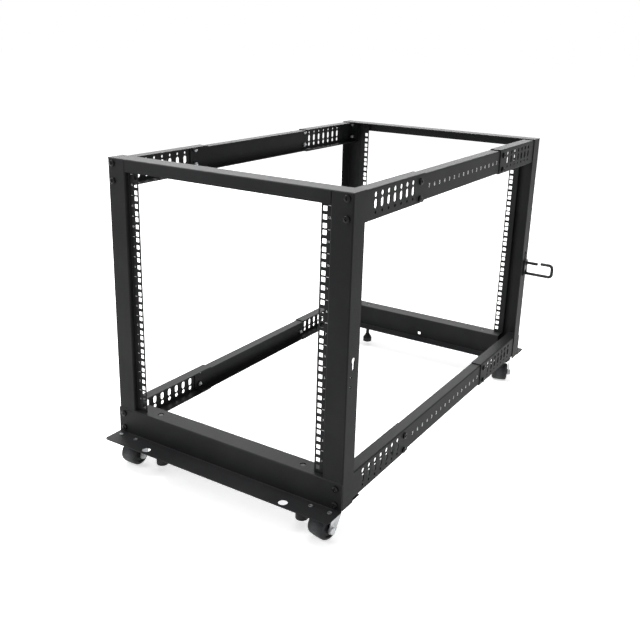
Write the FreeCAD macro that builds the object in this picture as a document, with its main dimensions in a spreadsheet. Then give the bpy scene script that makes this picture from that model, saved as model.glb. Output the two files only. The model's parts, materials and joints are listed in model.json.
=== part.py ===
import FreeCAD, Part
import math
import os
import Sketcher

# A four post open frame equipment rack on casters, in millimetres.
# +Z is up, +X is the rack's right seen from the front, and the front faces -Y.
# The origin is on the floor, under the middle of the whole rack with its cable hook.

DRIVING_SIZES = [
    ("rackUnits", 12, "height units between the beams"),
    ("unitPitch", 44.45, "height of one unit"),
    ("holesPerUnit", 3, "square holes in each unit"),
    ("firstHole", 6.35, "first hole above its unit's lower edge"),
    ("holePitch", 15.875, "spacing of the holes inside a unit"),
    ("holeSide", 9.5, "side of a square hole"),
    ("holeColumns", 465.1, "distance between the left and right hole columns"),
    ("openingWidth", 450, "clear width between the mounting flanges"),
    ("frameWidth", 596, "outside of post to outside of post"),
    ("frameDepth", 1006, "front beam face to rear beam face"),
    ("gauge", 2, "sheet thickness of posts, beams, bars and rails"),
    ("bendRadius", 1, "inside radius of a fold"),
    ("seatGap", 0.3, "play between pieces that slide together"),
    ("postFace", 47, "width of a post's end wall"),
    ("postDepth", 42, "depth of a post's side wall"),
    ("railRecess", 11, "mounting flange behind the post's end wall"),
    ("keyholeInset", 22, "keyhole behind the post's end wall"),
    ("keyholeBelowTop", 288, "keyhole's round part below the top unit edge"),
    ("keyholeDiameter", 12, "keyhole's round part"),
    ("keyholeSlotWidth", 7, "keyhole's slot"),
    ("keyholeDrop", 20, "keyhole's round part to the bottom of its slot"),
    ("hookHoleInset", 15, "hook screw holes behind the post's end wall"),
    ("hookHoleBelowTop", 320, "upper hook screw hole below the top unit edge"),
    ("hookHoleSpacing", 20, "upper to lower hook screw hole"),
    ("hookHoleDiameter", 4.5, "hook screw holes"),
    ("barFace", 26, "height of a top bar's end wall"),
    ("barDepth", 44, "depth of a top bar's flange"),
    ("barAboveUnits", 5, "top bar's lower edge above the top unit edge"),
    ("unitsAboveBeam", 6.6, "lowest unit edge above the beam"),
    ("beamHeight", 62, "height of a base beam"),
    ("beamDepth", 46, "depth of a base beam's box"),
    ("beamNotchGap", 1.5, "beam's box to the post's end wall"),
    ("footOut", 50, "foot flange outside the beam"),
    ("footIn", 32, "foot flange inside the beam"),
    ("footCorner", 8, "corner radius of the outer foot flange"),
    ("anchorSide", 184, "floor anchor holes from the middle"),
    ("anchorOut", 35, "floor anchor holes outside the beam"),
    ("anchorDiameter", 20, "floor anchor holes"),
    ("cableHoleDiameter", 10, "hole in the beam's inner wall"),
    ("cableHoleRise", 15, "that hole above the beam's foot"),
    ("railHeight", 60, "height of a side rail's bracket"),
    ("railFlange", 28, "width of a side rail's flanges"),
    ("bracketLength", 286, "length of a rail bracket"),
    ("slideOverlap", 35, "slide inside each bracket"),
    ("lowRailRise", 5, "lower rail's underside above the foot flange"),
    ("slotColumns", 7, "columns of slots in a bracket"),
    ("slotPitch", 25.4, "spacing of the columns"),
    ("firstSlot", 82, "first column from the bracket's end"),
    ("longSlot", 18, "long slot's length"),
    ("longSlotWidth", 11, "long slot's width"),
    ("shortSlot", 10, "length and width of the short slot"),
    ("shortSlotDrop", 17, "short slot from the rail's middle"),
    ("pinHole", 6, "round hole's diameter"),
    ("pinHoleRise", 16, "round hole from the rail's middle"),
    ("footSide", 192, "levelling foot from the middle"),
    ("footPad", 27, "levelling foot's pad diameter"),
    ("footPadEdge", 12, "height of the pad's straight edge"),
    ("footPadHeight", 26, "height of the whole pad"),
    ("footClear", 9, "pad above the floor"),
    ("studDiameter", 10, "levelling stud"),
    ("studHole", 13.5, "stud's hole in the beam"),
    ("studNut", 17, "weld nut across its flats"),
    ("studNutHeight", 9, "height of the weld nut"),
    ("wheelRoom", 20, "wheel's top to the caster plate's top"),
    ("casterSide", 258.5, "caster from the middle"),
    ("casterBoltHole", 10, "caster bolt holes in the foot flanges"),
    ("frontLeftTurn", 0, "degrees that this fork is turned as it stands"),
    ("frontRightTurn", -13, "degrees that this fork is turned as it stands"),
    ("rearLeftTurn", 12, "degrees that this fork is turned as it stands"),
    ("rearRightTurn", 16, "degrees that this fork is turned as it stands"),
    ("plateWidth", 60, "caster plate across the rack"),
    ("plateLength", 92, "caster plate along the rack"),
    ("plateGauge", 2.5, "thickness of plate and fork"),
    ("plateCorner", 5, "corner radius of the plate"),
    ("plateHoleAcross", 44, "plate bolts across the rack"),
    ("plateHoleAlong", 74, "plate bolts along the rack"),
    ("plateBolt", 8.5, "plate bolt holes"),
    ("raceDiameter", 44, "ball race"),
    ("raceHeight", 4, "height of the ball race"),
    ("kingpin", 10, "swivel pin"),
    ("kingpinHead", 18, "swivel pin's head"),
    ("kingpinHeadHeight", 3, "height of that head"),
    ("pinPlay", 0.1, "radial play at a pin"),
    ("trail", 20, "axle ahead of the swivel axis"),
    ("wheelDiameter", 50, "wheel"),
    ("treadWidth", 42, "wheel's tread"),
    ("treadRound", 5, "rounding of the tread's edges"),
    ("rimDiameter", 34, "inside of the wheel's side recess"),
    ("rimRecess", 4, "depth of the side recess"),
    ("hubDiameter", 16, "hub boss"),
    ("legGap", 46, "between the fork's legs"),
    ("legFront", 20, "leg ahead of the swivel axis at the crown"),
    ("legRear", 6, "leg behind the swivel axis at the crown"),
    ("legShoulder", 13, "straight part of the leg under the crown"),
    ("legEnd", 9, "leg's half width at the axle"),
    ("legTipRound", 7, "corner radius of the leg's lower end"),
    ("axle", 8, "wheel axle"),
    ("axleHead", 13, "axle's head and nut across their flats"),
    ("axleHeadHeight", 5, "height of that head and nut"),
    ("hookWire", 5.2, "cable hook's wire"),
    ("hookReach", 82, "cable hook outside the post"),
    ("hookHeight", 33, "hook's upper to lower run"),
    ("hookFlare", 2, "how much lower the upper run is at the post"),
    ("hookBend", 9, "radius of the hook's bends"),
    ("hookGap", 8, "opening in the hook's upper run"),
    ("hookGapStart", 36.5, "opening's start outside the post"),
    ("hookPlate", 44, "height of the plate that the hook is welded to"),
    ("hookPlateWidth", 26, "width of that plate"),
    ("hookPlateGauge", 4, "thickness of that plate"),
]


class Size:
    # A length or count together with the spreadsheet expression that gives it, so that
    # sums of sizes can be bound to the model's features.
    def __init__(self, number, text):
        self.number = number
        self.text = text

    def __add__(self, other):
        other = as_size(other)
        return Size(self.number + other.number, f"({self.text} + {other.text})")

    def __sub__(self, other):
        other = as_size(other)
        return Size(self.number - other.number, f"({self.text} - {other.text})")

    def __mul__(self, other):
        other = as_size(other)
        return Size(self.number * other.number, f"({self.text} * {other.text})")

    def __truediv__(self, other):
        other = as_size(other)
        return Size(self.number / other.number, f"({self.text} / {other.text})")

    def __neg__(self):
        return Size(-self.number, f"(0 - {self.text})")


def as_size(value):
    return value if isinstance(value, Size) else Size(value, repr(value))


doc = FreeCAD.newDocument("four_post_open_frame_rack")
sheet = doc.addObject("Spreadsheet::Sheet", "Sizes")
S = {}
for row, (alias, number, meaning) in enumerate(DRIVING_SIZES, start=1):
    sheet.set(f"A{row}", meaning)
    sheet.set(f"B{row}", str(number))
    sheet.setAlias(f"B{row}", alias)
    S[alias] = Size(number, f"Sizes.{alias}")
doc.recompute()

ZERO = Size(0, "0")
SLOT_CORNER_SHARE = 0.3
GAUGE = S["gauge"]
BEND_OUTSIDE = S["bendRadius"] + GAUGE

# Places across the rack, measured from its middle plane.
HALF_WIDTH = S["frameWidth"] / 2
POST_INNER = HALF_WIDTH - S["postFace"]
BEAM_BOX_HALF = POST_INNER - S["beamNotchGap"]
FOOT_IN_HALF = HALF_WIDTH - GAUGE * 2
MIDDLE_X = -S["hookReach"] / 2

# Places along the rack, measured from a beam's outer face towards the middle.
HALF_DEPTH = S["frameDepth"] / 2
POST_OUTER_Y = GAUGE
RAIL_START_Y = POST_OUTER_Y + GAUGE
RAIL_FACE_Y = POST_OUTER_Y + S["railRecess"]
CASTER_Y = S["beamDepth"] / 2

# Heights above the floor.
CASTER_HEIGHT = S["wheelDiameter"] + S["wheelRoom"]
BEAM_FOOT_Z = CASTER_HEIGHT
BEAM_TOP_Z = BEAM_FOOT_Z + S["beamHeight"]
UNITS_BOTTOM_Z = BEAM_TOP_Z + S["unitsAboveBeam"]
UNITS_TOP_Z = UNITS_BOTTOM_Z + S["unitPitch"] * S["rackUnits"]
BAR_LOW_Z = UNITS_TOP_Z + S["barAboveUnits"]
FRAME_TOP_Z = BAR_LOW_Z + S["barFace"]
POST_TOP_Z = FRAME_TOP_Z - GAUGE
TOP_RAIL_Z = POST_TOP_Z - S["railHeight"] / 2
LOW_RAIL_Z = BEAM_FOOT_Z + GAUGE + S["lowRailRise"] + S["railHeight"] / 2


def bind(feature, field, size):
    feature.setExpression(field, as_size(size).text)


def new_body(name):
    body = doc.addObject("PartDesign::Body", name)
    body.Label = name
    return body


def place(body, across, along, height, axis=None):
    # Puts the body's origin at a place in the rack, turned half a turn about an axis.
    if axis is not None:
        body.Placement = FreeCAD.Placement(FreeCAD.Vector(), FreeCAD.Rotation(axis, 180))
    bind(body, "Placement.Base.x", MIDDLE_X + across)
    bind(body, "Placement.Base.y", along)
    bind(body, "Placement.Base.z", height)


def new_sketch(body, name, plane, offset=None):
    # plane is "XY", "XZ" or "YZ"; offset moves the sketch along the plane's normal,
    # which is +Z, -Y or +X.
    sketch = body.newObject("Sketcher::SketchObject", name)
    origin_plane = next(
        feature for feature in body.Origin.OriginFeatures if feature.Role == f"{plane}_Plane"
    )
    sketch.AttachmentSupport = [(origin_plane, "")]
    sketch.MapMode = "FlatFace"
    if offset is not None:
        bind(sketch, "AttachmentOffset.Base.z", offset)
    return sketch


def fix_point(sketch, geometry, point, across, up):
    # Ties one point of a sketch to its distances from the sketch's origin.
    for kind, size in (("DistanceX", across), ("DistanceY", up)):
        size = as_size(size)
        index = sketch.addConstraint(
            Sketcher.Constraint(kind, -1, 1, geometry, point, size.number)
        )
        bind(sketch, f"Constraints[{index}]", size)


def draw_polygon(sketch, points):
    corners = [FreeCAD.Vector(as_size(x).number, as_size(y).number, 0) for x, y in points]
    lines = [
        sketch.addGeometry(Part.LineSegment(start, corners[(number + 1) % len(corners)]))
        for number, start in enumerate(corners)
    ]
    for number, line in enumerate(lines):
        after = lines[(number + 1) % len(lines)]
        sketch.addConstraint(Sketcher.Constraint("Coincident", line, 2, after, 1))
    for line, (x, y) in zip(lines, points):
        fix_point(sketch, line, 1, x, y)


def draw_rectangle(sketch, low_x, high_x, low_y, high_y):
    draw_polygon(sketch, [(low_x, low_y), (high_x, low_y), (high_x, high_y), (low_x, high_y)])


def draw_circle(sketch, x, y, diameter):
    x, y, diameter = as_size(x), as_size(y), as_size(diameter)
    centre = FreeCAD.Vector(x.number, y.number, 0)
    circle = sketch.addGeometry(Part.Circle(centre, FreeCAD.Vector(0, 0, 1), diameter.number / 2))
    fix_point(sketch, circle, 3, x, y)
    index = sketch.addConstraint(Sketcher.Constraint("Diameter", circle, diameter.number))
    bind(sketch, f"Constraints[{index}]", diameter)


def draw_upright_slot(sketch, x, y, length, width):
    # A punched slot: an upright rectangle with its four corners cut at 45 degrees.
    half_length = length / 2
    half_width = width / 2
    cut = width * SLOT_CORNER_SHARE
    x, y = as_size(x), as_size(y)
    low, high = y - half_length, y + half_length
    left, right = x - half_width, x + half_width
    draw_polygon(sketch, [
        (left + cut, low), (right - cut, low), (right, low + cut), (right, high - cut),
        (right - cut, high), (left + cut, high), (left, high - cut), (left, low + cut),
    ])


def draw_hexagon(sketch, x, y, flats):
    # Corners at 60 degree steps; a corner's distance is the flats over root three.
    corner = flats / math.sqrt(3)
    half = corner / 2
    side = flats / 2
    x, y = as_size(x), as_size(y)
    draw_polygon(sketch, [
        (x + corner, y), (x + half, y + side), (x - half, y + side),
        (x - corner, y), (x - half, y - side), (x + half, y - side),
    ])


def pad(body, name, sketch, length, reverse=False, both_ways=False):
    feature = body.newObject("PartDesign::Pad", name)
    feature.Profile = sketch
    bind(feature, "Length", length)
    feature.Reversed = reverse
    feature.Midplane = both_ways
    return feature


def pocket(body, name, sketch, length=None, reverse=False, both_ways=False):
    # With no length the cut goes right through.
    doc.recompute()
    before = body.Tip.Shape.Volume
    feature = body.newObject("PartDesign::Pocket", name)
    feature.Profile = sketch
    if length is None:
        feature.Type = "ThroughAll"
    else:
        bind(feature, "Length", length)
    feature.Reversed = reverse
    feature.Midplane = both_ways
    doc.recompute()
    if feature.Shape.Volume >= before - 1e-3:
        raise RuntimeError(f"{body.Label}: {name} cuts nothing")
    return feature


def repeat(body, name, feature, axis, spacing, count):
    pattern = body.newObject("PartDesign::LinearPattern", name)
    pattern.Originals = [feature]
    direction = next(
        part for part in body.Origin.OriginFeatures if part.Role == f"{axis}_Axis"
    )
    pattern.Direction = (direction, [""])
    pattern.Mode = "Spacing"
    bind(pattern, "Offset", spacing)
    bind(pattern, "Occurrences", count)
    body.Tip = pattern
    return pattern


def edges_through(feature, direction, places):
    # Names of the straight edges along a direction that pass the places, each a pair of
    # distances on the other two axes.
    across = [number for number in range(3) if abs(direction[number]) < 0.5]
    names = []
    for number, edge in enumerate(feature.Shape.Edges, start=1):
        if edge.Curve.TypeId != "Part::GeomLine":
            continue
        if abs(edge.tangentAt(edge.FirstParameter).dot(direction)) < 0.999:
            continue
        centre = edge.CenterOfMass
        for first, second in places:
            off = abs(centre[across[0]] - first) + abs(centre[across[1]] - second)
            if off < 0.01:
                names.append(f"Edge{number}")
    return names


def round_edges(body, name, feature, direction, places, radius):
    doc.recompute()
    numbers = [(as_size(first).number, as_size(second).number) for first, second in places]
    fillet = body.newObject("PartDesign::Fillet", name)
    fillet.Base = (feature, edges_through(feature, direction, numbers))
    bind(fillet, "Radius", radius)
    doc.recompute()
    return fillet


def fold_sheet(body, feature, direction, outside, inside):
    # Rounds the folds of a sheet: the outside of each fold by the gauge more.
    rounded = round_edges(body, "FoldOutside", feature, direction, outside, BEND_OUTSIDE)
    return round_edges(body, "FoldInside", rounded, direction, inside, S["bendRadius"])


ALONG_X = FreeCAD.Vector(1, 0, 0)
ALONG_Y = FreeCAD.Vector(0, 1, 0)
UPRIGHT = FreeCAD.Vector(0, 0, 1)
SIDES = {"left": -1, "right": 1}
ENDS = {"front": 1, "rear": -1}


def end_face(end):
    # The beam's outer face at an end of the rack.
    return -HALF_DEPTH * ENDS[end]


def make_post(end, side):
    # A folded post: side wall, end wall, a step back and the mounting flange with its
    # square holes. It is drawn for the front; a rear post is turned about the upright.
    hand = SIDES[side] * ENDS[end]
    body = new_body(f"post_{end}_{side}")
    outer = HALF_WIDTH * hand
    outer_in = (HALF_WIDTH - GAUGE) * hand
    step = POST_INNER * hand
    step_in = (POST_INNER + GAUGE) * hand
    flange_edge = S["openingWidth"] * hand / 2
    wall_back = POST_OUTER_Y + GAUGE
    flange_back = RAIL_FACE_Y + GAUGE
    side_back = POST_OUTER_Y + S["postDepth"]
    post_foot = BEAM_FOOT_Z + GAUGE

    section = new_sketch(body, "Section", "XY", post_foot)
    draw_polygon(section, [
        (outer, POST_OUTER_Y), (outer, side_back), (outer_in, side_back),
        (outer_in, wall_back), (step_in, wall_back), (step_in, flange_back),
        (flange_edge, flange_back), (flange_edge, RAIL_FACE_Y), (step, RAIL_FACE_Y),
        (step, POST_OUTER_Y),
    ])
    sheet_post = pad(body, "Sheet", section, POST_TOP_Z - post_foot)
    fold_sheet(
        body, sheet_post, UPRIGHT,
        [(outer, POST_OUTER_Y), (step, POST_OUTER_Y), (step_in, flange_back)],
        [(outer_in, wall_back), (step_in, wall_back), (step, RAIL_FACE_Y)],
    )

    # Below the beam's top only the end wall and the side wall go on.
    trim = new_sketch(body, "FlangeTrim", "XY", BEAM_TOP_Z)
    beyond = GAUGE * hand
    draw_rectangle(
        trim, flange_edge - beyond, step_in + S["bendRadius"] * hand,
        wall_back, flange_back + GAUGE,
    )
    pocket(body, "FlangeEnd", trim)

    holes = new_sketch(body, "UnitHoles", "XZ")
    column = S["holeColumns"] * hand / 2
    half_hole = S["holeSide"] / 2
    for number in range(S["holesPerUnit"].number):
        centre = UNITS_BOTTOM_Z + S["firstHole"] + S["holePitch"] * number
        draw_rectangle(
            holes, column - half_hole, column + half_hole, centre - half_hole, centre + half_hole
        )
    unit = pocket(body, "UnitCut", holes, both_ways=True)
    repeat(body, "AllUnits", unit, "Z", S["unitPitch"], S["rackUnits"])

    keyhole_y = POST_OUTER_Y + S["keyholeInset"]
    keyhole_z = UNITS_TOP_Z - S["keyholeBelowTop"]
    round_part = new_sketch(body, "KeyholeRound", "YZ")
    draw_circle(round_part, keyhole_y, keyhole_z, S["keyholeDiameter"])
    pocket(body, "KeyholeRoundCut", round_part, both_ways=True)
    slot_part = new_sketch(body, "KeyholeSlot", "YZ")
    slot_length = S["keyholeDrop"] + S["keyholeSlotWidth"] / 2
    slot_z = keyhole_z + S["keyholeSlotWidth"] / 2 - slot_length / 2
    draw_upright_slot(slot_part, keyhole_y, slot_z, slot_length, S["keyholeSlotWidth"])
    pocket(body, "KeyholeSlotCut", slot_part, both_ways=True)

    hook_holes = new_sketch(body, "HookHoles", "YZ")
    hook_y = POST_OUTER_Y + S["hookHoleInset"]
    hook_z = UNITS_TOP_Z - S["hookHoleBelowTop"]
    draw_circle(hook_holes, hook_y, hook_z, S["hookHoleDiameter"])
    draw_circle(hook_holes, hook_y, hook_z - S["hookHoleSpacing"], S["hookHoleDiameter"])
    pocket(body, "HookHolesCut", hook_holes, both_ways=True)

    place(body, ZERO, end_face(end), ZERO, UPRIGHT if end == "rear" else None)
    return body


def make_top_bar(end):
    # An angle: its flange lies over both posts, its end wall fills the gap between them.
    body = new_body(f"top_bar_{end}")
    section = new_sketch(body, "Section", "YZ")
    back = POST_OUTER_Y + S["barDepth"]
    draw_polygon(section, [
        (POST_OUTER_Y, BAR_LOW_Z), (RAIL_START_Y, BAR_LOW_Z), (RAIL_START_Y, POST_TOP_Z),
        (back, POST_TOP_Z), (back, FRAME_TOP_Z), (POST_OUTER_Y, FRAME_TOP_Z),
    ])
    angle = pad(body, "Angle", section, S["frameWidth"], both_ways=True)
    fold_sheet(
        body, angle, ALONG_X, [(POST_OUTER_Y, FRAME_TOP_Z)], [(RAIL_START_Y, POST_TOP_Z)]
    )
    notch = new_sketch(body, "PostNotches", "XZ")
    face_half = POST_INNER - S["seatGap"]
    low = BAR_LOW_Z - GAUGE
    draw_rectangle(notch, face_half, HALF_WIDTH + GAUGE, low, POST_TOP_Z)
    draw_rectangle(notch, -HALF_WIDTH - GAUGE, -face_half, low, POST_TOP_Z)
    pocket(body, "PostNotchesCut", notch, both_ways=True)
    place(body, ZERO, end_face(end), ZERO, UPRIGHT if end == "rear" else None)
    return body


def make_base_beam(end):
    # A hat section with foot flanges to both sides. Its outer wall laps the posts; its
    # box is cut away where the posts and the lower rails stand.
    body = new_body(f"base_beam_{end}")
    box_back = S["beamDepth"]
    inner_back = box_back - GAUGE
    foot_back = box_back + S["footIn"]
    foot_top = BEAM_FOOT_Z + GAUGE
    box_under = BEAM_TOP_Z - GAUGE
    section = new_sketch(body, "Section", "YZ")
    draw_polygon(section, [
        (-S["footOut"], BEAM_FOOT_Z), (-S["footOut"], foot_top), (ZERO, foot_top),
        (ZERO, BEAM_TOP_Z), (box_back, BEAM_TOP_Z), (box_back, foot_top),
        (foot_back, foot_top), (foot_back, BEAM_FOOT_Z), (inner_back, BEAM_FOOT_Z),
        (inner_back, box_under), (GAUGE, box_under), (GAUGE, BEAM_FOOT_Z),
    ])
    hat = pad(body, "Hat", section, S["frameWidth"], both_ways=True)
    fold_sheet(
        body, hat, ALONG_X,
        [(GAUGE, BEAM_FOOT_Z), (ZERO, BEAM_TOP_Z), (box_back, BEAM_TOP_Z),
         (inner_back, BEAM_FOOT_Z)],
        [(ZERO, foot_top), (GAUGE, box_under), (inner_back, box_under), (box_back, foot_top)],
    )

    seats = new_sketch(body, "PostSeats", "XY", foot_top)
    seat_back = box_back + S["bendRadius"]
    draw_rectangle(seats, BEAM_BOX_HALF, HALF_WIDTH + GAUGE, GAUGE, seat_back)
    draw_rectangle(seats, -HALF_WIDTH - GAUGE, -BEAM_BOX_HALF, GAUGE, seat_back)
    pocket(body, "PostSeatsCut", seats, reverse=True)

    ends = new_sketch(body, "InnerFootEnds", "XY")
    draw_rectangle(ends, FOOT_IN_HALF, HALF_WIDTH + GAUGE, GAUGE, foot_back + GAUGE)
    draw_rectangle(ends, -HALF_WIDTH - GAUGE, -FOOT_IN_HALF, GAUGE, foot_back + GAUGE)
    pocket(body, "InnerFootEndsCut", ends, both_ways=True)

    holes = new_sketch(body, "FlatHoles", "XY")
    for hand in SIDES.values():
        draw_circle(holes, S["anchorSide"] * hand, -S["anchorOut"], S["anchorDiameter"])
        draw_circle(holes, S["footSide"] * hand, box_back / 2, S["studHole"])
        for across in (-1, 1):
            for along in (-1, 1):
                draw_circle(
                    holes, S["casterSide"] * hand + S["plateHoleAcross"] * across / 2,
                    CASTER_Y + S["plateHoleAlong"] * along / 2, S["casterBoltHole"],
                )
    flat_holes = pocket(body, "FlatHolesCut", holes, both_ways=True)
    corners = [(HALF_WIDTH, -S["footOut"]), (-HALF_WIDTH, -S["footOut"])]
    round_edges(body, "FootCorners", flat_holes, UPRIGHT, corners, S["footCorner"])

    cable_hole = new_sketch(body, "CableHole", "XZ", -inner_back + GAUGE)
    draw_circle(cable_hole, ZERO, BEAM_FOOT_Z + S["cableHoleRise"], S["cableHoleDiameter"])
    pocket(body, "CableHoleCut", cable_hole, length=GAUGE * 3)
    place(body, ZERO, end_face(end), ZERO, UPRIGHT if end == "rear" else None)
    return body


def draw_channel(sketch, web, half_height, flange):
    # A channel with its web at a distance from the rail's outer face, open inwards.
    low, high = -half_height, half_height
    draw_polygon(sketch, [
        (web, low), (flange, low), (flange, low + GAUGE), (web + GAUGE, low + GAUGE),
        (web + GAUGE, high - GAUGE), (flange, high - GAUGE), (flange, high), (web, high),
    ])
    outside = [(web, low), (web, high)]
    inside = [(web + GAUGE, low + GAUGE), (web + GAUGE, high - GAUGE)]
    return outside, inside


def place_rail(body, side, along, height):
    # Drawn for the left side. The right side's piece is the same one turned over.
    across = (HALF_WIDTH - GAUGE) * SIDES[side]
    place(body, across, along, height, ALONG_Y if side == "right" else None)


def make_rail_bracket(level, height, end, side):
    # A channel bolted inside a post, with an end tab against the post's end wall and
    # columns of slots through its web.
    body = new_body(f"rail_bracket_{level}_{end}_{side}")
    inward = ENDS[end]
    start = RAIL_START_Y * -inward
    web_start = (RAIL_START_Y + S["bendRadius"]) * -inward
    half_height = S["railHeight"] / 2
    section = new_sketch(body, "Section", "XZ", web_start)
    outside, inside = draw_channel(section, ZERO, half_height, S["railFlange"])
    web_length = S["bracketLength"] - S["bendRadius"]
    channel = pad(body, "Channel", section, web_length, reverse=inward > 0)
    fold_sheet(body, channel, ALONG_Y, outside, inside)

    tab = new_sketch(body, "EndTab", "XZ", start)
    tab_inset = BEND_OUTSIDE / 2
    clear = half_height - tab_inset
    draw_rectangle(tab, tab_inset, S["railFlange"] - GAUGE, -clear, clear)
    pad(body, "EndTabSheet", tab, GAUGE, reverse=inward > 0)

    slots = new_sketch(body, "SlotColumn", "YZ")
    column = (RAIL_START_Y + S["firstSlot"]) * inward
    draw_upright_slot(slots, column, ZERO, S["longSlot"], S["longSlotWidth"])
    draw_upright_slot(slots, column, -S["shortSlotDrop"], S["shortSlot"], S["shortSlot"])
    draw_hexagon(slots, column, S["pinHoleRise"], S["pinHole"])
    cut = pocket(body, "SlotColumnCut", slots, both_ways=True)
    columns = repeat(body, "SlotColumns", cut, "Y", S["slotPitch"], S["slotColumns"])
    columns.Reversed = inward < 0
    place_rail(body, side, end_face(end), height)
    return body


def make_rail_slide(level, height, side):
    # The channel that runs inside both brackets of a rail and ties the ends together.
    body = new_body(f"rail_slide_{level}_{side}")
    section = new_sketch(body, "Section", "XZ")
    half_height = S["railHeight"] / 2 - GAUGE - S["seatGap"]
    outside, inside = draw_channel(section, GAUGE, half_height, S["railFlange"])
    bracket_reach = RAIL_START_Y + S["bracketLength"]
    length = S["frameDepth"] - (bracket_reach - S["slideOverlap"]) * 2
    channel = pad(body, "Channel", section, length, both_ways=True)
    fold_sheet(body, channel, ALONG_Y, outside, inside)
    place_rail(body, side, ZERO, height)
    return body


def make_levelling_foot(end, side):
    # A stud in a weld nut under the beam's top, with a round pad clear of the floor.
    body = new_body(f"levelling_foot_{end}_{side}")
    pad_radius = S["footPad"] / 2
    stud_radius = S["studDiameter"] / 2
    low = S["footClear"]
    profile = new_sketch(body, "Profile", "XZ")
    draw_polygon(profile, [
        (ZERO, low), (pad_radius, low), (pad_radius, low + S["footPadEdge"]),
        (stud_radius, low + S["footPadHeight"]), (stud_radius, BEAM_TOP_Z - GAUGE / 2),
        (ZERO, BEAM_TOP_Z - GAUGE / 2),
    ])
    turned = body.newObject("PartDesign::Revolution", "Turned")
    turned.Profile = profile
    turned.ReferenceAxis = (profile, ["V_Axis"])
    turned.Angle = 360
    nut = new_sketch(body, "WeldNut", "XY", BEAM_TOP_Z - GAUGE)
    draw_hexagon(nut, ZERO, ZERO, S["studNut"])
    pad(body, "WeldNutBody", nut, S["studNutHeight"], reverse=True)
    along = end_face(end) + S["beamDepth"] / 2 * ENDS[end]
    place(body, S["footSide"] * SIDES[side], along, ZERO)
    return body


# Heights in a caster, measured down from its plate's top.
RACE_TOP = S["plateGauge"]
RACE_LOW = RACE_TOP + S["raceHeight"]
CROWN_TOP = RACE_LOW + S["seatGap"]
CROWN_LOW = CROWN_TOP + S["plateGauge"]
AXLE_DOWN = CASTER_HEIGHT - S["wheelDiameter"] / 2

FORK_TURNS = {
    ("front", "left"): S["frontLeftTurn"],
    ("front", "right"): S["frontRightTurn"],
    ("rear", "left"): S["rearLeftTurn"],
    ("rear", "right"): S["rearRightTurn"],
}


def sine(degrees):
    value = math.sin(math.radians(degrees.number))
    return Size(value, f"sin({degrees.text} * 1deg)")


def cosine(degrees):
    value = math.cos(math.radians(degrees.number))
    return Size(value, f"cos({degrees.text} * 1deg)")


def caster_place(end, side):
    along = end_face(end) + CASTER_Y * ENDS[end]
    return S["casterSide"] * SIDES[side], along


def turn_about_upright(body, degrees):
    rotation = FreeCAD.Rotation(UPRIGHT, degrees.number)
    body.Placement = FreeCAD.Placement(FreeCAD.Vector(), rotation)
    bind(body, "Placement.Rotation.Angle", degrees)


def make_caster_plate(end, side):
    # The plate bolted under the foot flanges, its ball race and the swivel pin.
    body = new_body(f"caster_plate_{end}_{side}")
    half_width = S["plateWidth"] / 2
    half_length = S["plateLength"] / 2
    outline = new_sketch(body, "Outline", "XY")
    draw_rectangle(outline, -half_width, half_width, -half_length, half_length)
    plate = pad(body, "Plate", outline, S["plateGauge"], reverse=True)
    corners = [(x, y) for x in (-half_width, half_width) for y in (-half_length, half_length)]
    round_edges(body, "PlateCorners", plate, UPRIGHT, corners, S["plateCorner"])
    holes = new_sketch(body, "BoltHoles", "XY")
    for across in (-1, 1):
        for along in (-1, 1):
            draw_circle(
                holes, S["plateHoleAcross"] * across / 2, S["plateHoleAlong"] * along / 2,
                S["plateBolt"],
            )
    pocket(body, "BoltHolesCut", holes, both_ways=True)

    pin = S["kingpin"] / 2
    head_top = CROWN_LOW + S["seatGap"]
    head_low = head_top + S["kingpinHeadHeight"]
    race = new_sketch(body, "RaceAndPin", "XZ")
    draw_polygon(race, [
        (ZERO, -RACE_TOP / 2), (S["raceDiameter"] / 2, -RACE_TOP / 2),
        (S["raceDiameter"] / 2, -RACE_LOW), (pin, -RACE_LOW), (pin, -head_top),
        (S["kingpinHead"] / 2, -head_top), (S["kingpinHead"] / 2, -head_low),
        (ZERO, -head_low),
    ])
    turned = body.newObject("PartDesign::Revolution", "Race")
    turned.Profile = race
    turned.ReferenceAxis = (race, ["V_Axis"])
    turned.Angle = 360
    across, along = caster_place(end, side)
    place(body, across, along, CASTER_HEIGHT)
    return body


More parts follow.
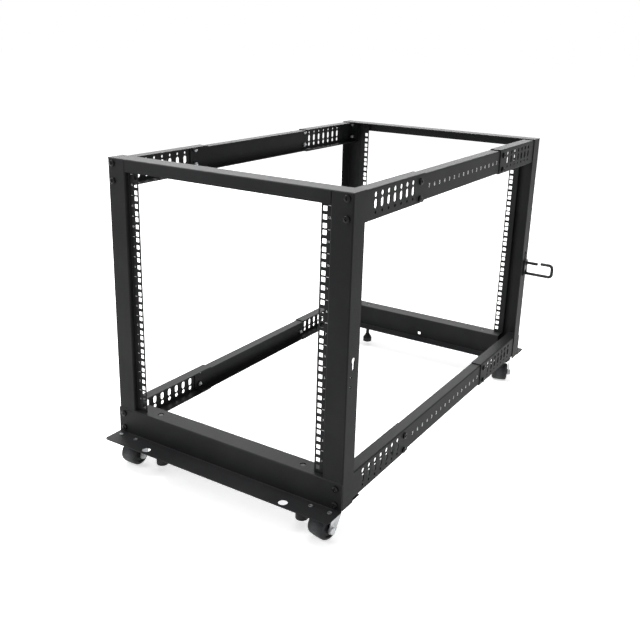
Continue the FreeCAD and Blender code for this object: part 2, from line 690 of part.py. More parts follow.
def make_caster_fork(end, side):
    # A round crown on the swivel pin, two tapered legs and the axle with its nuts.
    body = new_body(f"caster_fork_{end}_{side}")
    crown = new_sketch(body, "Crown", "XY", -CROWN_TOP)
    draw_circle(crown, ZERO, ZERO, S["raceDiameter"])
    pad(body, "CrownSheet", crown, S["plateGauge"], reverse=True)

    axle_y = -S["trail"]
    end_low = AXLE_DOWN + S["legEnd"]
    legs = new_sketch(body, "LegOutline", "YZ")
    draw_polygon(legs, [
        (-S["legFront"], -CROWN_TOP), (S["legRear"], -CROWN_TOP),
        (S["legRear"], -CROWN_LOW - S["legShoulder"]), (axle_y + S["legEnd"], -end_low),
        (axle_y - S["legEnd"], -end_low), (-S["legFront"], -CROWN_LOW - S["legShoulder"]),
    ])
    outer_width = S["legGap"] + S["plateGauge"] * 2
    leg_block = pad(body, "LegSheet", legs, outer_width, both_ways=True)
    tips = [(axle_y + S["legEnd"], -end_low), (axle_y - S["legEnd"], -end_low)]
    round_edges(body, "LegTips", leg_block, ALONG_X, tips, S["legTipRound"])

    gap = new_sketch(body, "WheelRoom", "XY", -CROWN_LOW)
    half_gap = S["legGap"] / 2
    reach = S["trail"] + S["wheelDiameter"]
    draw_rectangle(gap, -half_gap, half_gap, -reach, reach)
    pocket(body, "WheelRoomCut", gap)

    pin_hole = new_sketch(body, "PinHole", "XY")
    draw_circle(pin_hole, ZERO, ZERO, S["kingpin"] + S["pinPlay"] * 2)
    pocket(body, "PinHoleCut", pin_hole, both_ways=True)

    axle = new_sketch(body, "Axle", "YZ")
    draw_circle(axle, axle_y, -AXLE_DOWN, S["axle"])
    pad(body, "AxleRod", axle, outer_width, both_ways=True)
    half_outer = outer_width / 2
    for name, offset, reverse in (("Head", half_outer, False), ("Nut", -half_outer, True)):
        hexagon = new_sketch(body, f"Axle{name}", "YZ", offset)
        draw_hexagon(hexagon, axle_y, -AXLE_DOWN, S["axleHead"])
        pad(body, f"Axle{name}Body", hexagon, S["axleHeadHeight"], reverse=reverse)
    across, along = caster_place(end, side)
    turn_about_upright(body, FORK_TURNS[end, side])
    place(body, across, along, CASTER_HEIGHT)
    return body


def make_caster_wheel(end, side):
    # A turned wheel: tread with rounded edges, recessed sides and a hub on the axle.
    body = new_body(f"caster_wheel_{end}_{side}")
    tread = S["treadWidth"] / 2
    web = tread - S["rimRecess"]
    hub_end = S["legGap"] / 2 - S["seatGap"]
    bore = S["axle"] / 2 + S["pinPlay"]
    rim = S["rimDiameter"] / 2
    hub = S["hubDiameter"] / 2
    outer = S["wheelDiameter"] / 2
    round_start = outer - S["treadRound"]
    round_side = tread - S["treadRound"]
    profile = new_sketch(body, "Profile", "XZ")
    draw_polygon(profile, [
        (-hub_end, bore), (hub_end, bore), (hub_end, hub), (web, hub), (web, rim),
        (tread, rim), (tread, round_start), (round_side, outer), (-round_side, outer),
        (-tread, round_start), (-tread, rim), (-web, rim), (-web, hub), (-hub_end, hub),
    ])
    turned = body.newObject("PartDesign::Revolution", "Turned")
    turned.Profile = profile
    turned.ReferenceAxis = (profile, ["H_Axis"])
    turned.Angle = 360
    across, along = caster_place(end, side)
    turn = FORK_TURNS[end, side]
    across = across + S["trail"] * sine(turn)
    along = along - S["trail"] * cosine(turn)
    turn_about_upright(body, turn)
    place(body, across, along, S["wheelDiameter"] / 2)
    return body


def bent_wire(corners, radii):
    # Straight runs joined by tangent arcs, one radius for each inner corner.
    edges = []
    start = corners[0]
    for before, corner, after, radius in zip(corners, corners[1:], corners[2:], radii):
        into = (corner - before).normalize()
        out = (after - corner).normalize()
        half_turn = into.getAngle(out) / 2
        arc_start = corner - into * radius * math.tan(half_turn)
        arc_end = corner + out * radius * math.tan(half_turn)
        centre = corner + (out - into).normalize() * radius / math.cos(half_turn)
        middle = centre + (corner - centre).normalize() * radius
        edges.append(Part.LineSegment(start, arc_start).toShape())
        edges.append(Part.Arc(arc_start, middle, arc_end).toShape())
        start = arc_end
    edges.append(Part.LineSegment(start, corners[-1]).toShape())
    return Part.Wire(edges)


def make_wire(corners, radii, diameter):
    section = Part.Wire(Part.makeCircle(diameter / 2, corners[0], corners[1] - corners[0]))
    return bent_wire(corners, radii).makePipeShell([section], True, False)


def make_cable_hook():
    # A plate screwed to the post's side wall. A short stub and a bent wire are welded to
    # it and leave a gap between their ends.
    wire = S["hookWire"].number
    wall = HALF_WIDTH.number
    thickness = S["hookPlateGauge"].number
    weld = wall + thickness / 2
    reach = wall + S["hookReach"].number - wire / 2
    gap_start = wall + S["hookGapStart"].number
    gap_end = gap_start + S["hookGap"].number
    top = S["hookHeight"].number / 2
    stub_height = top - S["hookFlare"].number
    height = S["hookPlate"].number
    width = S["hookPlateWidth"].number
    plate = Part.makeBox(
        thickness, width, height, FreeCAD.Vector(wall, -width / 2, -height / 2)
    )
    hole = S["hookHoleDiameter"].number / 2
    for side in (-1, 1):
        centre = FreeCAD.Vector(wall, 0, S["hookHoleSpacing"].number * side / 2)
        plate = plate.cut(Part.makeCylinder(hole, thickness, centre, ALONG_X))
    stub = make_wire(
        [FreeCAD.Vector(weld, 0, stub_height), FreeCAD.Vector(gap_start, 0, stub_height)],
        [], wire,
    )
    bend = S["hookBend"].number
    loop = make_wire(
        [
            FreeCAD.Vector(weld, 0, -top), FreeCAD.Vector(reach, 0, -top),
            FreeCAD.Vector(reach, 0, top), FreeCAD.Vector(gap_end, 0, top),
        ],
        [bend, bend], wire,
    )
    hook = doc.addObject("Part::Feature", "cable_hook")
    hook.Label = "cable_hook"
    hook.Shape = plate.fuse([stub, loop])
    bind(hook, "Placement.Base.x", MIDDLE_X)
    bind(hook, "Placement.Base.y", HALF_DEPTH - POST_OUTER_Y - S["hookHoleInset"])
    middle = UNITS_TOP_Z - S["hookHoleBelowTop"] - S["hookHoleSpacing"] / 2
    bind(hook, "Placement.Base.z", middle)
    return hook


pieces = []
for end in ENDS:
    pieces.append(make_top_bar(end))
    pieces.append(make_base_beam(end))
    for side in SIDES:
        pieces.append(make_post(end, side))
        pieces.append(make_rail_bracket("top", TOP_RAIL_Z, end, side))
        pieces.append(make_rail_bracket("low", LOW_RAIL_Z, end, side))
        pieces.append(make_levelling_foot(end, side))
        pieces.append(make_caster_plate(end, side))
        pieces.append(make_caster_fork(end, side))
        pieces.append(make_caster_wheel(end, side))
for side in SIDES:
    pieces.append(make_rail_slide("top", TOP_RAIL_Z, side))
    pieces.append(make_rail_slide("low", LOW_RAIL_Z, side))
pieces.append(make_cable_hook())
doc.recompute()

for feature in doc.Objects:
    if "Invalid" in feature.State or "Error" in feature.State:
        raise RuntimeError(f"{feature.Label} failed: {feature.State}")
for piece in pieces:
    if piece.Shape.isNull() or not piece.Shape.isValid():
        raise RuntimeError(f"{piece.Label} has no valid shape")

os.makedirs("parts", exist_ok=True)
for piece in pieces:
    piece.Shape.exportStep(f"parts/{piece.Label}.step")
    print(f"{piece.Label}: {piece.Shape.Volume:.0f} mm3, {len(piece.Shape.Solids)} solid(s)")
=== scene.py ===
import json
import math
import bpy
import numpy as np
from mathutils import Matrix, Vector


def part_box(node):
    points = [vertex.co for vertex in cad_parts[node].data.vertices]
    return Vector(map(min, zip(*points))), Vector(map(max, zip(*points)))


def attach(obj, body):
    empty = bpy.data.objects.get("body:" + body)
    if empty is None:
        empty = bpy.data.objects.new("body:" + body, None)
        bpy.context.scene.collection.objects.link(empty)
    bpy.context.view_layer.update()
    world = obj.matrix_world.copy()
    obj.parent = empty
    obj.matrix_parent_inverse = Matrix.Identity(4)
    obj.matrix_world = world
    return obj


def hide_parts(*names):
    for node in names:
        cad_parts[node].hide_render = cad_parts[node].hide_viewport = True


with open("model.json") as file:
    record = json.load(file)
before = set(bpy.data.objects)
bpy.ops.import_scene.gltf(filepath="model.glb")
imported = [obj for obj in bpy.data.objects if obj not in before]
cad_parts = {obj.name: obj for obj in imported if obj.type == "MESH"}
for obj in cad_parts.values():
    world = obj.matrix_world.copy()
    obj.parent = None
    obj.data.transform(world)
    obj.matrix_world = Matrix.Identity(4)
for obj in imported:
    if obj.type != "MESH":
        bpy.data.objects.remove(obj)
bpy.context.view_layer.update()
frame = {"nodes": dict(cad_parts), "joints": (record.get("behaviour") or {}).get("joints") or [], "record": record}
nodes = frame["nodes"]
print("frame loaded:", len(nodes), "nodes")

sides = {"left": -1, "right": 1}
ends = {"front": -1, "rear": 1}
corners = [(end, side) for end in ends for side in sides]
railLevels = ("topRail", "lowRail")

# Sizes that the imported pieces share, in metres. The rest is read from their boxes.
sheet = {
    "gauge": 0.002,
    "unitPitch": 0.04445,
    "unitCount": 12,
    "unitsAboveBeam": 0.0066,  # the lowest unit's edge above the beam
    "railRecess": 0.011,  # the drilled flange behind the post's end wall
}


def measureRack():
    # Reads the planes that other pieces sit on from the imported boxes.
    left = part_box("post_front_left")[0].x
    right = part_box("post_front_right")[1].x
    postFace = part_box("post_rear_right")[1].y
    beamLow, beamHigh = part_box("base_beam_front")
    topLow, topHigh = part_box("rail_bracket_top_front_right")
    lowLow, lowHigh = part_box("rail_bracket_low_front_right")
    unitsBottom = beamHigh.z + sheet["unitsAboveBeam"]
    return {
        "middleX": (right + left) / 2,
        "halfWidth": (right - left) / 2,
        "postFaceY": postFace,
        "beamFaceY": postFace + sheet["gauge"],
        "beamTop": beamHigh.z,
        "beamFoot": beamLow.z,
        "footTop": beamLow.z + sheet["gauge"],
        "unitsBottom": unitsBottom,
        "unitsTop": unitsBottom + sheet["unitPitch"] * sheet["unitCount"],
        "topRail": (topLow.z + topHigh.z) / 2,
        "lowRail": (lowLow.z + lowHigh.z) / 2,
        "bracketEnd": abs(topHigh.y),
    }


rack = measureRack()
print("rack measured:", {name: round(value, 4) for name, value in rack.items()})


def newMaterial(name):
    # A material with its nodes: tree, shader and the coordinates that its noises read.
    material = bpy.data.materials.new(name)
    material.use_nodes = True
    tree = material.node_tree
    shader = tree.nodes["Principled BSDF"]
    place = tree.nodes.new("ShaderNodeTexCoord")
    return material, tree, shader, place


def addNoise(tree, place, settings):
    # A noise over the object's own coordinates, from its (scale, detail, roughness).
    noise = tree.nodes.new("ShaderNodeTexNoise")
    for name, value in zip(("Scale", "Detail", "Roughness"), settings):
        noise.inputs[name].default_value = value
    tree.links.new(place.outputs["Object"], noise.inputs["Vector"])
    return noise.outputs["Fac"]


def addColour(tree, shader, noise, span, colours):
    # The base colour goes from the first colour to the second over a span of the noise.
    ramp = tree.nodes.new("ShaderNodeValToRGB")
    for element, position, colour in zip(ramp.color_ramp.elements, span, colours):
        element.position = position
        element.color = (*colour, 1.0)
    tree.links.new(noise, ramp.inputs["Fac"])
    tree.links.new(ramp.outputs["Color"], shader.inputs["Base Color"])


def addRoughness(tree, shader, noise, limits):
    # Roughness goes from its lower limit to its upper one with the noise.
    spread = tree.nodes.new("ShaderNodeMapRange")
    spread.inputs["To Min"].default_value, spread.inputs["To Max"].default_value = limits
    tree.links.new(noise, spread.inputs["Value"])
    tree.links.new(spread.outputs["Result"], shader.inputs["Roughness"])


def addBump(tree, shader, noise, strength, depth):
    # Fine relief whose height is the noise times the depth.
    bump = tree.nodes.new("ShaderNodeBump")
    bump.inputs["Strength"].default_value = strength
    bump.inputs["Distance"].default_value = depth
    tree.links.new(noise, bump.inputs["Height"])
    tree.links.new(bump.outputs["Normal"], shader.inputs["Normal"])


def addMath(tree, operation, *sources):
    # One step of arithmetic on one or two values, each a socket or a number.
    step = tree.nodes.new("ShaderNodeMath")
    step.operation = operation
    for entry, source in zip(step.inputs, sources):
        if isinstance(source, float):
            entry.default_value = source
        else:
            tree.links.new(source, entry)
    return step.outputs["Value"]


# In every look a noise is (scale, detail, roughness), and a span is the part of the
# noise over which the colour changes.
powderLook = {
    "dark": (0.0095, 0.0098, 0.0104),
    "light": (0.0155, 0.0158, 0.0165),
    "gloss": 0.1,  # specular level
    "clouds": (7.0, 4.0, 0.5),
    "cloudSpan": (0.35, 0.68),
    "grain": (1400.0, 2.0, 0.6),
    "grainStrength": 0.22,
    "grainDepth": 0.0002,
    "rough": (0.46, 0.56),
}


def powderCoat(name, look):
    # Baked powder: near black, faint clouds, a fine orange peel.
    material, tree, shader, place = newMaterial(name)
    shader.inputs["Specular IOR Level"].default_value = look["gloss"]
    clouds = addNoise(tree, place, look["clouds"])
    addColour(tree, shader, clouds, look["cloudSpan"], (look["dark"], look["light"]))
    grain = addNoise(tree, place, look["grain"])
    addRoughness(tree, shader, grain, look["rough"])
    addBump(tree, shader, grain, look["grainStrength"], look["grainDepth"])
    return material


zincLook = {
    "dull": (0.36, 0.37, 0.38),
    "bright": (0.60, 0.61, 0.62),
    "patches": (60.0, 5.0, 0.6),
    "patchSpan": (0.3, 0.7),
    "grain": (900.0, 2.0, 0.5),
    "grainStrength": 0.12,
    "grainDepth": 0.0001,
    "rough": (0.34, 0.50),
}


def zincPlate(name, look):
    # Zinc over pressed steel: soft patches and a fine grain.
    material, tree, shader, place = newMaterial(name)
    shader.inputs["Metallic"].default_value = 1.0
    patches = addNoise(tree, place, look["patches"])
    addColour(tree, shader, patches, look["patchSpan"], (look["dull"], look["bright"]))
    addRoughness(tree, shader, patches, look["rough"])
    grain = addNoise(tree, place, look["grain"])
    addBump(tree, shader, grain, look["grainStrength"], look["grainDepth"])
    return material


# The tread is scuffed from the worn edge inwards, in shares of half the wheel's width.
wheelLook = {
    "dark": (0.007, 0.0075, 0.009),
    "light": (0.013, 0.0135, 0.0155),
    "worn": (0.046, 0.048, 0.051),
    "wornEdge": 0.62,
    "wornMiddle": 0.1,
    "mottle": (90.0, 4.0, 0.5),
    "mottleSpan": (0.3, 0.7),
    "scuffs": (270.0, 5.0, 0.65),
    "grain": (1100.0, 2.0, 0.5),
    "grainStrength": 0.2,
    "grainDepth": 0.0002,
    "rough": (0.48, 0.62),
    "gloss": 0.28,
}


def moulded(name, look):
    # Moulded polymer: slight mottling and a fine matt grain.
    material, tree, shader, place = newMaterial(name)
    shader.inputs["Specular IOR Level"].default_value = look["gloss"]
    mottle = addNoise(tree, place, look["mottle"])
    addColour(tree, shader, mottle, look["mottleSpan"], (look["dark"], look["light"]))
    addRoughness(tree, shader, mottle, look["rough"])
    grain = addNoise(tree, place, look["grain"])
    addBump(tree, shader, grain, look["grainStrength"], look["grainDepth"])
    return material


def wornTread(name, look):
    # The moulded polymer, mixed with the worn colour by a smooth band over the middle
    # of the tread times a scuff noise.
    material = moulded(name, look)
    tree = material.node_tree
    shader = tree.nodes["Principled BSDF"]
    place = tree.nodes["Texture Coordinate"]
    across = tree.nodes.new("ShaderNodeAttribute")
    across.attribute_name = "across"
    band = tree.nodes.new("ShaderNodeMapRange")
    band.interpolation_type = "SMOOTHSTEP"
    band.inputs["From Min"].default_value = look["wornEdge"]
    band.inputs["From Max"].default_value = look["wornMiddle"]
    tree.links.new(addMath(tree, "ABSOLUTE", across.outputs["Fac"]), band.inputs["Value"])
    scuffs = addNoise(tree, place, look["scuffs"])
    amount = addMath(tree, "MULTIPLY", band.outputs["Result"], scuffs)
    mix = tree.nodes.new("ShaderNodeMix")
    mix.data_type = "RGBA"
    mix.inputs["B"].default_value = (*look["worn"], 1)
    below = shader.inputs["Base Color"].links[0].from_socket
    tree.links.new(amount, mix.inputs["Factor"])
    tree.links.new(below, mix.inputs["A"])
    tree.links.new(mix.outputs["Result"], shader.inputs["Base Color"])
    return material


printLook = {
    "thin": (0.62, 0.62, 0.61),
    "full": (0.80, 0.80, 0.79),
    "ink": (1500.0, 2.0, 0.5),
    "inkSpan": (0.3, 0.6),
    "rough": 0.6,
}


def screenPrint(name, look):
    # White ink, a little thinner in spots.
    material, tree, shader, place = newMaterial(name)
    ink = addNoise(tree, place, look["ink"])
    addColour(tree, shader, ink, look["inkSpan"], (look["thin"], look["full"]))
    shader.inputs["Roughness"].default_value = look["rough"]
    return material


boltLook = dict(powderLook, dark=(0.004, 0.004, 0.0042), light=(0.008, 0.008, 0.0083),
                gloss=0.16, grainStrength=0.06, rough=(0.22, 0.3))
boltZincLook = dict(zincLook, dull=(0.10, 0.103, 0.107), bright=(0.19, 0.193, 0.198))
footLook = dict(wheelLook, dark=(0.004, 0.004, 0.0045), light=(0.008, 0.008, 0.0085),
                rough=(0.4, 0.55))
wireLook = dict(powderLook, gloss=0.2, rough=(0.3, 0.4))

finishes = {
    "powder_black": powderCoat("powderCoat", powderLook),
    "zinc_plate": zincPlate("zincPlate", zincLook),
    "wheel_rubber": wornTread("wheelRubber", wheelLook),
    "foot_black": moulded("footBlack", footLook),
    "hook_black": powderCoat("wireCoat", wireLook),
}
boltBlack = powderCoat("boltBlack", boltLook)
boltZinc = zincPlate("boltZinc", boltZincLook)
printWhite = screenPrint("printWhite", printLook)

for entry in frame["record"]["subparts"]:
    piece = nodes[entry["node"]]
    piece.data.materials.clear()
    piece.data.materials.append(finishes[entry["material_slot"]])
print("finishes given to the packed pieces")


def gridFaces(rows, columns):
    # Quads between neighbouring rows; the last column joins the first.
    row = np.arange(rows - 1)[:, None]
    column = np.arange(columns)[None, :]
    after = (column + 1) % columns
    a = row * columns + column
    b = row * columns + after
    c = (row + 1) * columns + after
    d = (row + 1) * columns + column
    return np.stack([a, b, c, d], axis=-1).reshape(-1, 4)


def turnedGrid(profile, steps):
    # Each (radius, height) of the profile swept round the upright axis.
    profile = np.asarray(profile, float)
    angle = np.linspace(0, 2 * math.pi, steps, endpoint=False)
    x = profile[:, :1] * np.cos(angle)
    y = profile[:, :1] * np.sin(angle)
    z = np.repeat(profile[:, 1:], steps, axis=1)
    points = np.stack([x, y, z], axis=-1).reshape(-1, 3)
    return points, gridFaces(len(profile), steps)


def facing(direction):
    # The turn that takes +Z to a direction.
    return np.array(Vector(direction).to_track_quat("Z", "Y").to_matrix())


def placed(shape, direction, place):
    # A shape whose own +Z is turned to a direction, then moved to its place.
    points, faces = shape
    return points @ facing(direction).T + np.asarray(place, float), faces


def joined(shapes):
    # One shape from many: each one's faces count on from the points before it.
    counts = np.cumsum([0] + [len(shape[0]) for shape in shapes[:-1]])
    points = np.concatenate([shape[0] for shape in shapes])
    faces = np.concatenate([shape[1] + count for count, shape in zip(counts, shapes)])
    return points, faces


meshing = {"weldPlaces": 9, "creaseAngle": math.radians(35)}


def welded(shape):
    # Points that coincide become one, and corners that repeat in a face are dropped.
    points, faces = shape
    first, where = np.unique(np.round(points, meshing["weldPlaces"]), axis=0,
                             return_index=True, return_inverse=True)[1:]
    kept = [list(dict.fromkeys(face)) for face in where.reshape(-1)[faces].tolist()]
    return points[first], [face for face in kept if len(face) > 2]


def makePiece(name, shape, material, body, smooth=True, weld=True):
    # A shape made a piece that rides on a body. Unwelded, its points keep their order,
    # for values laid on them afterwards.
    if weld:
        points, faces = welded(shape)
    else:
        points, faces = shape[0], shape[1].tolist()
    mesh = bpy.data.meshes.new(name)
    mesh.from_pydata(points.tolist(), [], faces)
    mesh.materials.append(material)
    mesh.validate()
    piece = bpy.data.objects.new(name, mesh)
    bpy.context.scene.collection.objects.link(piece)
    if smooth:
        mesh.shade_smooth()
        mesh.set_sharp_from_angle(angle=meshing["creaseAngle"])
    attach(piece, body)
    return piece


panScrew = {
    "radius": 0.0067,
    "height": 0.0044,
    "lowHeight": 0.0019,  # of the clamps' heads on the left
    "domeFall": 0.22,  # what the dome loses by its rim, in shares of the height
    "edgeFall": 0.12,
    "skirt": 1.02,  # over the rim's radius
    "skirtShare": 0.35,  # of the height
    "recessReach": 0.0035,  # from the middle to an arm's end
    "recessWidth": 0.0010,  # from an arm's middle line to its wall
    "recessShare": 0.55,  # of the height, at the middle
    "wallRun": 0.0004,  # widths of the ramps
    "armEndRun": 0.0006,
    "rings": 22,
    "steps": 48,
}


def panHead(look, height):
    # Height over (ring, angle): a flat dome that falls with the square and the sixth
    # power of the radius, less a cross recess that is shallower outwards. Its walls are
    # ramps of the distance from the nearer arm and of the radius. A skirt closes it below.
    share = np.linspace(0, 1, look["rings"])[:, None]
    angle = np.linspace(0, 2 * math.pi, look["steps"], endpoint=False)[None, :]
    radius = share * look["radius"]
    x = radius * np.cos(angle)
    y = radius * np.sin(angle)
    dome = height * (1 - look["domeFall"] * share ** 2 - look["edgeFall"] * share ** 6)
    arm = np.minimum(np.abs(x), np.abs(y))
    wall = np.clip((look["recessWidth"] - arm) / look["wallRun"] + 0.5, 0, 1)
    reach = np.clip((look["recessReach"] - radius) / look["armEndRun"] + 0.5, 0, 1)
    depth = height * look["recessShare"]
    z = dome - depth * wall * reach * (1 - radius / look["radius"])
    top = np.stack(np.broadcast_arrays(x, y, z), axis=-1)
    rim = top[-1:] * np.array([look["skirt"], look["skirt"], 0.0])
    skirt = rim + [0, 0, height * look["skirtShare"]]
    grid = np.concatenate([rim * 0, rim, skirt, top[::-1]])
    return grid.reshape(-1, 3), gridFaces(len(grid), look["steps"])


hexNut = {
    "flats": 0.010,
    "height": 0.005,
    "bore": 0.0031,
    "chamferCircle": 1.03,  # over half the flats
    "chamferShare": 0.13,  # of the height
    "steps": 48,
}


def hexShape(look):
    # The radius is half the flats over the cosine of the angle to each flat. A chamfer
    # circle limits it at both ends, and the bore closes the section.
    angle = np.linspace(0, 2 * math.pi, look["steps"], endpoint=False)
    toFlat = (angle + math.pi / 6) % (math.pi / 3) - math.pi / 6
    flat = look["flats"] / 2 / np.cos(toFlat)
    circle = np.minimum(flat, look["flats"] / 2 * look["chamferCircle"])
    bore = np.full_like(flat, look["bore"])
    top = look["height"]
    chamfer = top * look["chamferShare"]
    rows = [(circle, 0), (flat, chamfer), (flat, top - chamfer), (circle, top),
            (bore, top), (bore, 0), (circle, 0)]
    grid = np.stack([
        np.stack([r * np.cos(angle), r * np.sin(angle), np.full_like(r, z)], axis=-1)
        for r, z in rows
    ])
    return grid.reshape(-1, 3), gridFaces(len(rows), look["steps"])


stud = {"radius": 0.003, "length": 0.008, "chamferShare": 0.25, "steps": 24}


def studEnd(radius, length):
    # A screw's shank turned from its section: closed, with a small chamfer at the top.
    chamfer = radius * stud["chamferShare"]
    return turnedGrid([(0, 0), (radius, 0), (radius, length - chamfer),
                       (radius - chamfer, length), (0, length)], stud["steps"])


def nutOnStud(direction, place):
    # A nut against a wall, with the end of its screw through it.
    return [placed(hexShape(hexNut), direction, place),
            placed(studEnd(stud["radius"], stud["length"]), direction, place)]


frameScrews = {
    "across": 0.285,  # from the rack's middle, on the posts
    "beamAcross": 0.283,
    "topAbove": (0.020, -0.017),  # above the highest unit's edge
    "beamAbove": (0.049, 0.014),  # above the beam's foot
    "walls": 3,  # sheets between a post's outside and the nuts
}


def makeFrameScrews():
    # Pan heads on the posts' end walls and on the beams' outer walls, nuts behind them.
    look = frameScrews
    head = panHead(panScrew, panScrew["height"])
    inner = rack["postFaceY"] - look["walls"] * sheet["gauge"]
    pairs = [(look["across"], rack["unitsTop"], look["topAbove"], rack["postFaceY"]),
             (look["beamAcross"], rack["beamFoot"], look["beamAbove"], rack["beamFaceY"])]
    heads = []
    nuts = []
    for end, side in corners:
        out = ends[end]
        for across, level, steps, face in pairs:
            x = rack["middleX"] + across * sides[side]
            for above in steps:
                z = level + above
                heads.append(placed(head, (0, out, 0), (x, out * face, z)))
                nuts += nutOnStud((0, -out, 0), (x, out * inner, z))
    makePiece("frame_screws", joined(heads), boltBlack, "rack")
    makePiece("frame_nuts", joined(nuts), finishes["zinc_plate"], "rack")


clampScrews = {
    "fromEnd": 0.020,  # outwards from the bracket's inner end
    "above": (0.015, -0.020),  # the rail's middle line, the other way up on the left
    "headHeight": {"left": panScrew["lowHeight"], "right": panScrew["height"]},
    "walls": 2,  # sheets between heads and nuts
}


def makeClampScrews():
    # Where a slide runs inside a bracket two screws clamp them, heads outside.
    look = clampScrews
    heads = []
    nuts = []
    for end, side in corners:
        hand = sides[side]
        head = panHead(panScrew, look["headHeight"][side])
        y = ends[end] * (rack["bracketEnd"] + look["fromEnd"])
        wall = rack["middleX"] + hand * (rack["halfWidth"] - sheet["gauge"])
        inner = wall - hand * look["walls"] * sheet["gauge"]
        for level in railLevels:
            for above in look["above"]:
                z = rack[level] + above * hand
                heads.append(placed(head, (hand, 0, 0), (wall, y, z)))
                nuts += nutOnStud((-hand, 0, 0), (inner, y, z))
    makePiece("clamp_screws", joined(heads), boltBlack, "rack")
    makePiece("clamp_nuts", joined(nuts), finishes["zinc_plate"], "rack")


pinCollars = {
    "columns": 7,
    "first": 0.086,  # inwards from the beam's face
    "pitch": 0.0254,
    "below": 0.016,  # the rail's middle line
    "walls": 2,  # sheets between the rack's outside and the collars
    "bore": 0.0022,
    "radius": 0.0038,
    "length": 0.004,
    "steps": 16,
}


def makePinCollars():
    # Drawn collars behind the round holes of each right bracket: short tubes, each a
    # closed section turned about its hole.
    look = pinCollars
    ring = [(look["bore"], 0), (look["radius"], 0), (look["radius"], look["length"]),
            (look["bore"], look["length"]), (look["bore"], 0)]
    collar = turnedGrid(ring, look["steps"])
    shapes = []
    wall = rack["middleX"] + rack["halfWidth"] - look["walls"] * sheet["gauge"]
    for out in ends.values():
        for level in railLevels:
            z = rack[level] - look["below"]
            for column in range(look["columns"]):
                y = out * (rack["beamFaceY"] - look["first"] - look["pitch"] * column)
                shapes.append(placed(collar, (-1, 0, 0), (wall, y, z)))
    makePiece("pin_collars", joined(shapes), finishes["powder_black"], "rack")


makeFrameScrews()
makeClampScrews()
makePinCollars()
print("screws, nuts and collars made")


def closedCap(points):
    # A row of the same length with every point at the middle, which closes an end.
    return np.repeat(points.mean(axis=0, keepdims=True), len(points), axis=0)


def tubeShape(path, look):
    # A circle carried along a path that lies in an upright plane. At both ends a quarter
    # circle eases its radius.
    radius = look["wire"] / 2
    tangent = np.gradient(path, axis=0)
    tangent /= np.linalg.norm(tangent, axis=1, keepdims=True)
    turn = np.linspace(0, math.pi / 2, look["endRings"])
    endRound = radius * look["endRound"]
    inwards = (endRound * (1 - np.cos(turn)))[:, None]
    startPath = path[:1] + tangent[:1] * inwards
    endPath = path[-1:] - tangent[-1:] * inwards
    startSize = radius - endRound * (1 - np.sin(turn))
    centres = np.concatenate([startPath, path[1:-1], endPath[::-1]])
    along = np.concatenate([np.repeat(tangent[:1], look["endRings"], axis=0), tangent[1:-1],
                            np.repeat(tangent[-1:], look["endRings"], axis=0)])
    sizes = np.concatenate([startSize, np.full(len(path) - 2, radius), startSize[::-1]])
    level = np.array([0.0, 1.0, 0.0])
    above = np.cross(along, level)
    angle = np.linspace(0, 2 * math.pi, look["steps"], endpoint=False)
    acrossRing = np.cos(angle)[None, :, None] * level
    ring = acrossRing + np.sin(angle)[None, :, None] * above[:, None]
    grid = centres[:, None] + ring * sizes[:, None, None]
    grid = np.concatenate([closedCap(grid[0])[None], grid, closedCap(grid[-1])[None]])
    return grid.reshape(-1, 3), gridFaces(len(grid), look["steps"])


def squareRun(route, bend, perBend):
    # Straight runs whose right-angled corners are quarter circles.
    route = np.asarray(route, float)
    turn = np.linspace(0, math.pi / 2, perBend)[:, None]
    runs = [route[:1]]
    for before, corner, after in zip(route, route[1:], route[2:]):
        into = (corner - before) / np.linalg.norm(corner - before)
        out = (after - corner) / np.linalg.norm(after - corner)
        centre = corner + (out - into) * bend
        runs.append(centre + bend * (into * np.sin(turn) - out * np.cos(turn)))
    runs.append(route[-1:])
    return np.concatenate(runs)


def plateShape(look):
    # A rounded rectangle, each point a corner's centre plus a point of its circle, raised
    # to the plate's gauge with its front edge eased.
    width, height, gauge = look["plateWidth"], look["plateHeight"], look["plateGauge"]
    corner, ease = look["plateCorner"], look["plateEase"]
    angle = (np.arange(look["plateSteps"]) + 0.5) * 2 * math.pi / look["plateSteps"]
    x = np.sign(np.cos(angle)) * (width / 2 - corner) + corner * np.cos(angle)
    y = np.sign(np.sin(angle)) * (height / 2 - corner) + corner * np.sin(angle)
    outline = np.stack([x, y, np.zeros_like(x)], axis=-1)
    inner = outline * [1 - 2 * ease / width, 1 - 2 * ease / height, 1] + [0, 0, gauge]
    rows = [closedCap(outline), outline, outline + [0, 0, gauge - ease], inner,
            closedCap(inner)]
    grid = np.stack(rows)
    return grid.reshape(-1, 3), gridFaces(len(rows), look["plateSteps"])


cableHook = {
    "wire": 0.0084,
    "plateGauge": 0.004,
    "plateWidth": 0.026,
    "plateHeight": 0.044,
    "plateCorner": 0.003,
    "plateEase": 0.0005,
    "plateSteps": 64,
    "halfHeight": 0.0165,  # of the loop, between middle lines
    "flare": 0.002,  # the stub below the loop's end
    "gapStart": 0.0365,  # the stub's end from the post
    "gap": 0.008,
    "bend": 0.009,
    "perBend": 14,
    "stubRings": 4,
    "endRings": 5,
    "endRound": 0.35,  # of the wire's radius
    "weld": 0.0014,
    "weldProud": 0.00005,
    "weldRoot": 0.5,  # of the wire's radius
    "weldRings": 6,
    "weldSteps": 32,
    "steps": 28,
}


